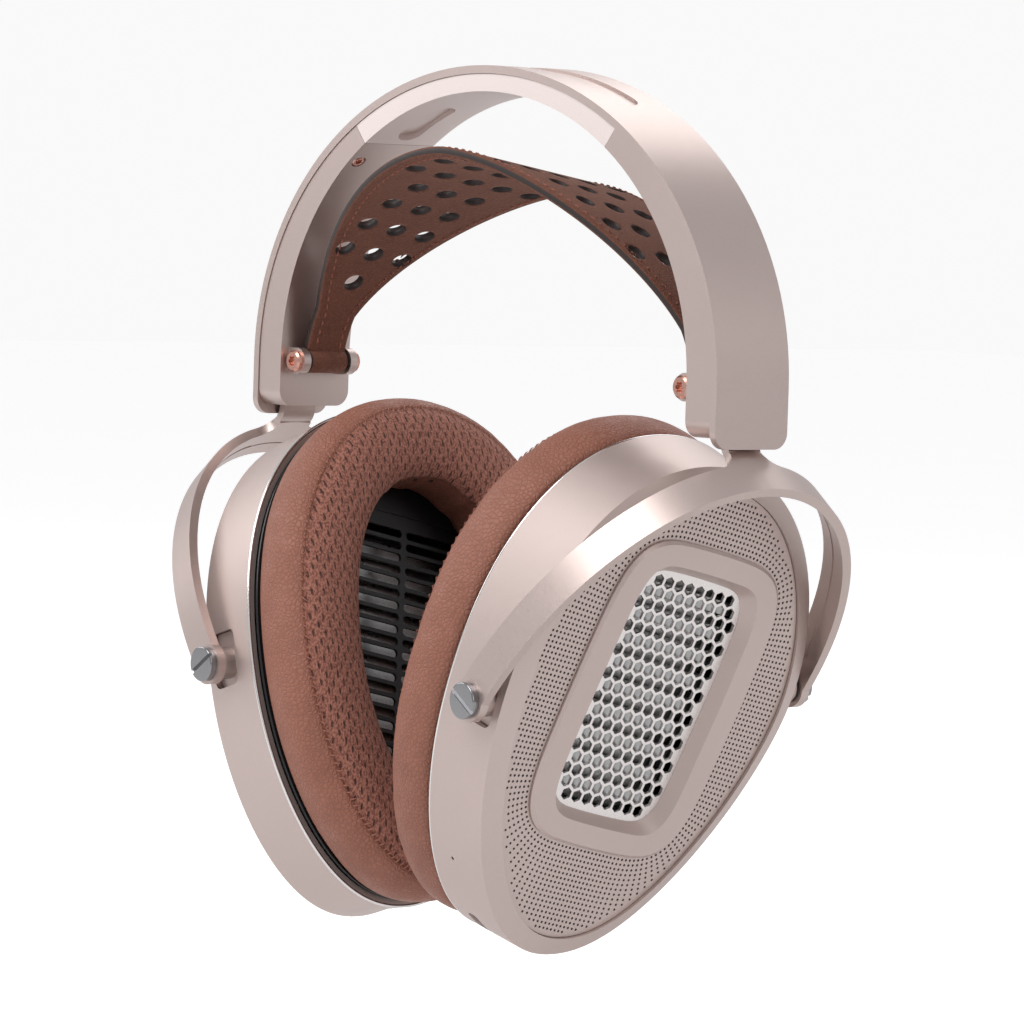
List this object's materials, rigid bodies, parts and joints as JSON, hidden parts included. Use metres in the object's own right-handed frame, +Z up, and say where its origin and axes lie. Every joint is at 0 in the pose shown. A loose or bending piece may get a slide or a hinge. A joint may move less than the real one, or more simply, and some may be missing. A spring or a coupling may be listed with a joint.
{
  "type": "over ear headphones",
  "caption": "Open-backed over ear headphones: sprung metal arch, suede head strap, sliding yokes, tilting egg-shaped cups with honeycomb grilles and thick leather pads.",
  "frame": {"origin": "middle of the underside of the head strap at its crown, where it rests on the head", "axes": "+Z up, -Y the way the wearer faces, +X towards the wearer's left ear"},
  "size_m": [0.1964, 0.109, 0.2153],
  "materials": {
    "satin_metal": "satin champagne anodised",
    "shell_finish": "satin champagne lacquer",
    "crown_liner": "smooth matte",
    "spring_steel": "brushed",
    "copper_screw": "rose plated",
    "chrome_screw": "polished",
    "strap_suede": "suede",
    "pad_leather": "grained leather over foam",
    "mesh_metal": "satin",
    "magnet_metal": "plated",
    "black_plastic": "moulded",
    "diaphragm_film": "metallised film",
    "board": "solder mask",
    "port_metal": "plated",
    "light_lens": "clear",
    "battery_wrap": "film wrap"
  },
  "bodies": {
    "headband": {"headband_strip": "satin_metal", "crown_liner": "crown_liner", "left_arm_housing": "satin_metal", "right_arm_housing": "satin_metal", "left_slider_spring": "spring_steel", "right_slider_spring": "spring_steel", "left_strap_bar": "spring_steel", "right_strap_bar": "spring_steel", "arm_screws": "copper_screw", "strap_screws": "copper_screw", "head_strap": "strap_suede"},
    "left_yoke": {"left_yoke": "satin_metal", "left_slider_glide": "black_plastic", "left_pivot_washers": "black_plastic"},
    "left_cup": {"left_cup_shell": "shell_finish", "left_pivot_blocks": "black_plastic", "left_pivot_screws": "chrome_screw", "left_outer_grille": "shell_finish", "left_bezel": "shell_finish", "left_hex_grille": "mesh_metal", "left_outer_magnets": "magnet_metal", "left_outer_driver_frame": "black_plastic", "left_diaphragm": "diaphragm_film", "left_voice_trace": "magnet_metal", "left_inner_driver_frame": "black_plastic", "left_inner_magnets": "magnet_metal", "left_driver_screws": "spring_steel", "left_baffle": "black_plastic", "left_shell_screws": "spring_steel", "left_ear_grille": "black_plastic", "left_pad_ring": "black_plastic", "left_ear_pad": "pad_leather", "left_circuit_board": "board", "left_board_screws": "spring_steel", "left_usb_receptacle": "port_metal", "left_microphone": "port_metal", "left_indicator_light": "light_lens"},
    "right_yoke": {"right_yoke": "satin_metal", "right_slider_glide": "black_plastic", "right_pivot_washers": "black_plastic"},
    "right_cup": {"right_cup_shell": "shell_finish", "right_pivot_blocks": "black_plastic", "right_pivot_screws": "chrome_screw", "right_outer_grille": "shell_finish", "right_bezel": "shell_finish", "right_hex_grille": "mesh_metal", "right_outer_magnets": "magnet_metal", "right_outer_driver_frame": "black_plastic", "right_diaphragm": "diaphragm_film", "right_voice_trace": "magnet_metal", "right_inner_driver_frame": "black_plastic", "right_inner_magnets": "magnet_metal", "right_driver_screws": "spring_steel", "right_baffle": "black_plastic", "right_shell_screws": "spring_steel", "right_ear_grille": "black_plastic", "right_pad_ring": "black_plastic", "right_ear_pad": "pad_leather", "right_battery": "battery_wrap"}
  },
  "joints": [
    {"name": "left_slide", "type": "slide", "parent": "headband", "child": "left_yoke", "axis": [0.1793, 0, -0.9838], "range_m": [0, 0.028]},
    {"name": "left_tilt", "type": "hinge", "parent": "left_yoke", "child": "left_cup", "pos_m": [0.05129, 0, -0.124], "axis": [0, -1, 0], "range_deg": [-1.5, 29]},
    {"name": "right_slide", "type": "slide", "parent": "headband", "child": "right_yoke", "axis": [-0.1793, 0, -0.9838], "range_m": [0, 0.028]},
    {"name": "right_tilt", "type": "hinge", "parent": "right_yoke", "child": "right_cup", "pos_m": [-0.05129, 0, -0.124], "axis": [0, 1, 0], "range_deg": [-1.5, 29]}
  ]
}
